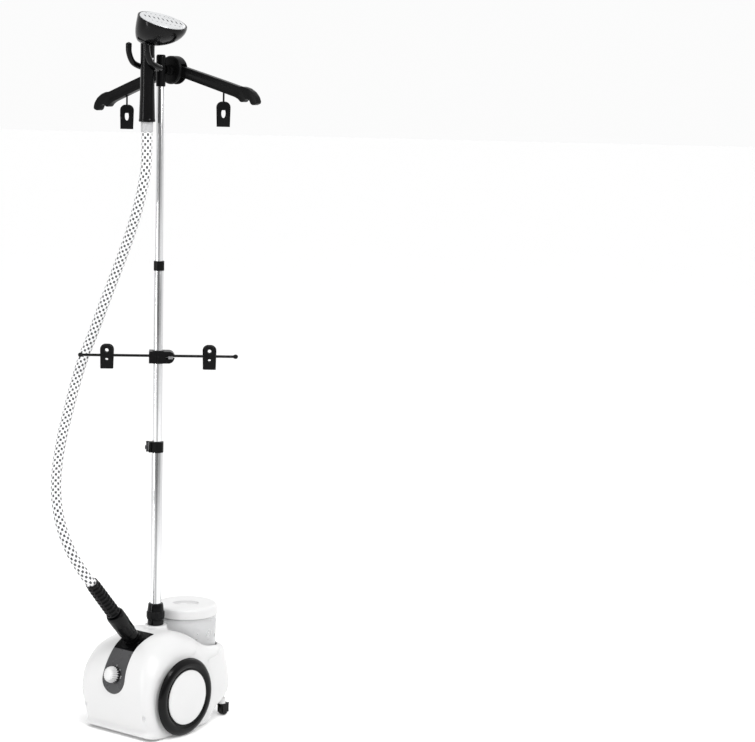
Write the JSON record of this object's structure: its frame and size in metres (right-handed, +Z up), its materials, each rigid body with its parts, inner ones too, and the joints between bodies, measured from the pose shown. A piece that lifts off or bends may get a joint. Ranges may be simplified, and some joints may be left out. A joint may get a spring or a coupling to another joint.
{
  "type": "garment_steamer",
  "caption": "Upright garment steamer: white wheeled base with water tank, telescoping pole with clip bar and folding hanger, black steam head on a woven hose.",
  "frame": {"origin": "middle of the footprint, on the floor", "axes": "+X to the object's right, -Y towards the user (knob and hose side), +Z up along the pole"},
  "size_m": [0.4823, 0.4668, 1.5967],
  "materials": {
    "white_plastic": "glossy white ABS",
    "black_plastic": "glossy black ABS",
    "dark_panel": "dark grey, polished",
    "tyre_black": "hard glossy black rim",
    "tank_plastic": "translucent light grey",
    "smoke_plastic": "translucent smoke grey",
    "aluminium": "bright drawn tube",
    "steel": "plain steel",
    "cast_metal": "rough die cast",
    "hose_fabric": "woven white with black flecks",
    "rubber": "matte black"
  },
  "bodies": {
    "base": {"base_tray": "white_plastic", "body_shell": "white_plastic", "tank_seat": "white_plastic", "control_panel": "dark_panel", "hose_socket": "black_plastic", "rotary_switch": "steel", "steam_boiler": "cast_metal", "cord_inlet": "rubber", "pole_receiver": "white_plastic", "pole_clamp_seat": "black_plastic", "lower_pole": "aluminium", "lower_lock_collar": "black_plastic", "hose_coupling": "black_plastic", "hose_boot": "black_plastic", "steam_hose": "hose_fabric", "wheel_axle": "steel"},
    "knob": {"steam_knob": "white_plastic"},
    "clamp_nut": {"pole_clamp_nut": "black_plastic"},
    "lower_lever": {"lower_lock_lever": "black_plastic"},
    "middle_section": {"middle_pole": "aluminium", "upper_lock_collar": "black_plastic"},
    "upper_lever": {"upper_lock_lever": "black_plastic"},
    "upper_section": {"upper_pole": "aluminium", "pole_top_socket": "black_plastic", "handset_fork": "black_plastic", "hanger_hub": "black_plastic", "arm_pin_left": "steel", "arm_pin_right": "steel"},
    "bar_bush": {"bar_clamp_bush": "black_plastic"},
    "bar": {"bar_clamp": "black_plastic", "clip_bar": "black_plastic"},
    "bar_lever": {"bar_clamp_lever": "smoke_plastic"},
    "bar_clip_left": {"bar_clip_left_rear_jaw": "black_plastic"},
    "bar_jaw_left": {"bar_clip_left_front_jaw": "black_plastic"},
    "bar_clip_right": {"bar_clip_right_rear_jaw": "black_plastic"},
    "bar_jaw_right": {"bar_clip_right_front_jaw": "black_plastic"},
    "arm_left": {"hanger_arm_left": "black_plastic"},
    "arm_right": {"hanger_arm_right": "black_plastic"},
    "hang_clip_left": {"clip_hook_left": "steel", "hang_clip_left_rear_jaw": "black_plastic"},
    "hang_jaw_left": {"hang_clip_left_front_jaw": "black_plastic"},
    "hang_clip_right": {"clip_hook_right": "steel", "hang_clip_right_rear_jaw": "black_plastic"},
    "hang_jaw_right": {"hang_clip_right_front_jaw": "black_plastic"},
    "handset": {"handset_handle": "black_plastic", "steam_head": "black_plastic", "steam_plate": "aluminium", "hose_sleeve": "smoke_plastic"},
    "tank": {"water_tank": "tank_plastic", "valve_cap": "black_plastic"},
    "lid": {"tank_lid": "white_plastic"},
    "valve": {"valve_plunger": "rubber"},
    "wheel_left": {"tyre_left": "tyre_black", "wheel_disc_left": "white_plastic"},
    "wheel_right": {"tyre_right": "tyre_black", "wheel_disc_right": "white_plastic"},
    "caster_left": {"caster_fork_left": "black_plastic"},
    "caster_right": {"caster_fork_right": "black_plastic"},
    "caster_wheel_left": {"caster_wheel_left": "rubber"},
    "caster_wheel_right": {"caster_wheel_right": "rubber"}
  },
  "joints": [
    {"name": "knob_turn", "type": "hinge", "parent": "base", "child": "knob", "pos_m": [-0.0043, -0.16081, 0.13926], "axis": [0, -0.9636, 0.2675], "range_deg": [0, 90]},
    {"name": "pole_nut_turn", "type": "hinge", "parent": "base", "child": "clamp_nut", "pos_m": [-0.0043, -0.0264, 0.26], "axis": [0, 0, 1], "range_deg": [0, 180]},
    {"name": "lower_lock_open", "type": "hinge", "parent": "base", "child": "lower_lever", "pos_m": [-0.0248, -0.03672, 0.636], "axis": [0, 0, 1], "range_deg": [-100, 0]},
    {"name": "middle_pole_slide", "type": "slide", "parent": "base", "child": "middle_section", "axis": [0, 0, 1], "range_m": [-0.1, 0], "deforming": ["steam_hose"]},
    {"name": "upper_lock_open", "type": "hinge", "parent": "middle_section", "child": "upper_lever", "pos_m": [-0.01307, -0.0076, 1.0425], "axis": [0, 0, 1], "range_deg": [-100, 0]},
    {"name": "upper_pole_slide", "type": "slide", "parent": "middle_section", "child": "upper_section", "axis": [0, 0, 1], "range_m": [-0.3, 0], "deforming": ["steam_hose"]},
    {"name": "bar_slide", "type": "slide", "parent": "middle_section", "child": "bar_bush", "axis": [0, 0, 1], "range_m": [-0.02, 0.06]},
    {"name": "bar_swivel", "type": "hinge", "parent": "bar_bush", "child": "bar", "pos_m": [-0.0043, -0.0264, 0.8395], "axis": [0, 0, 1], "range_deg": [0, 120]},
    {"name": "bar_lock_open", "type": "hinge", "parent": "bar", "child": "bar_lever", "pos_m": [0.01434, -0.00596, 0.8395], "axis": [0, 0, 1], "range_deg": [0, 100]},
    {"name": "bar_clip_left_slide", "type": "slide", "parent": "bar", "child": "bar_clip_left", "axis": [-0.7501, -0.6613, 0], "range_m": [-0.045, 0.035]},
    {"name": "bar_clip_left_open", "type": "hinge", "parent": "bar_clip_left", "child": "bar_jaw_left", "pos_m": [-0.10006, -0.09016, 0.8395], "axis": [-0.7501, -0.6613, 0], "range_deg": [0, 15], "stiffness_Nm_per_rad": 0.15, "springref_deg": -22.92},
    {"name": "bar_clip_right_slide", "type": "slide", "parent": "bar", "child": "bar_clip_right", "axis": [0.7501, 0.6613, 0], "range_m": [-0.045, 0.035]},
    {"name": "bar_clip_right_open", "type": "hinge", "parent": "bar_clip_right", "child": "bar_jaw_right", "pos_m": [0.07096, 0.06062, 0.8395], "axis": [-0.7501, -0.6613, 0], "range_deg": [0, 15], "stiffness_Nm_per_rad": 0.15, "springref_deg": -22.92},
    {"name": "arm_left_fold", "type": "hinge", "parent": "upper_section", "child": "arm_left", "pos_m": [-0.0203, 0.0156, 1.472], "axis": [0, -1, 0], "range_deg": [0, 40]},
    {"name": "arm_right_fold", "type": "hinge", "parent": "upper_section", "child": "arm_right", "pos_m": [0.0117, 0.0156, 1.472], "axis": [0, 1, 0], "range_deg": [0, 40]},
    {"name": "hook_left_swing", "type": "hinge", "parent": "arm_left", "child": "hang_clip_left", "pos_m": [-0.14447, 0.0156, 1.41863], "axis": [0, 1, 0], "range_deg": [-12, 12]},
    {"name": "hang_clip_left_open", "type": "hinge", "parent": "hang_clip_left", "child": "hang_jaw_left", "pos_m": [-0.14447, 0.0156, 1.36813], "axis": [-0.7501, -0.6613, 0], "range_deg": [0, 15], "stiffness_Nm_per_rad": 0.15, "springref_deg": -22.92},
    {"name": "hook_right_swing", "type": "hinge", "parent": "arm_right", "child": "hang_clip_right", "pos_m": [0.14112, 0.0156, 1.43303], "axis": [0, -1, 0], "range_deg": [-12, 12]},
    {"name": "hang_clip_right_open", "type": "hinge", "parent": "hang_clip_right", "child": "hang_jaw_right", "pos_m": [0.14112, 0.0156, 1.38253], "axis": [-0.7501, -0.6613, 0], "range_deg": [0, 15], "stiffness_Nm_per_rad": 0.15, "springref_deg": -22.92},
    {"name": "handset_lift", "type": "slide", "parent": "upper_section", "child": "handset", "axis": [0, 0, 1], "range_m": [0, 0.035]},
    {"name": "tank_lift", "type": "slide", "parent": "base", "child": "tank", "axis": [0, 0, 1], "range_m": [0, 0.1]},
    {"name": "lid_lift", "type": "slide", "parent": "tank", "child": "lid", "axis": [0, 0, 1], "range_m": [0, 0.05]},
    {"name": "valve_plunger_push", "type": "slide", "parent": "tank", "child": "valve", "axis": [0, 0, 1], "range_m": [0, 0.003], "stiffness_N_per_m": 80},
    {"name": "wheel_left_spin", "type": "hinge", "parent": "base", "child": "wheel_left", "pos_m": [-0.1203, -0.0529, 0.0875], "axis": [1, 0, 0], "continuous": true},
    {"name": "caster_left_swivel", "type": "hinge", "parent": "base", "child": "caster_left", "pos_m": [-0.0823, 0.1156, 0.03], "axis": [0, 0, 1], "continuous": true},
    {"name": "caster_left_spin", "type": "hinge", "parent": "caster_left", "child": "caster_wheel_left", "pos_m": [-0.0823, 0.1216, 0.0115], "axis": [1, 0, 0], "continuous": true},
    {"name": "wheel_right_spin", "type": "hinge", "parent": "base", "child": "wheel_right", "pos_m": [0.1117, -0.0529, 0.0875], "axis": [1, 0, 0], "continuous": true},
    {"name": "caster_right_swivel", "type": "hinge", "parent": "base", "child": "caster_right", "pos_m": [0.0737, 0.1156, 0.03], "axis": [0, 0, 1], "continuous": true},
    {"name": "caster_right_spin", "type": "hinge", "parent": "caster_right", "child": "caster_wheel_right", "pos_m": [0.0737, 0.1216, 0.0115], "axis": [1, 0, 0], "continuous": true}
  ]
}
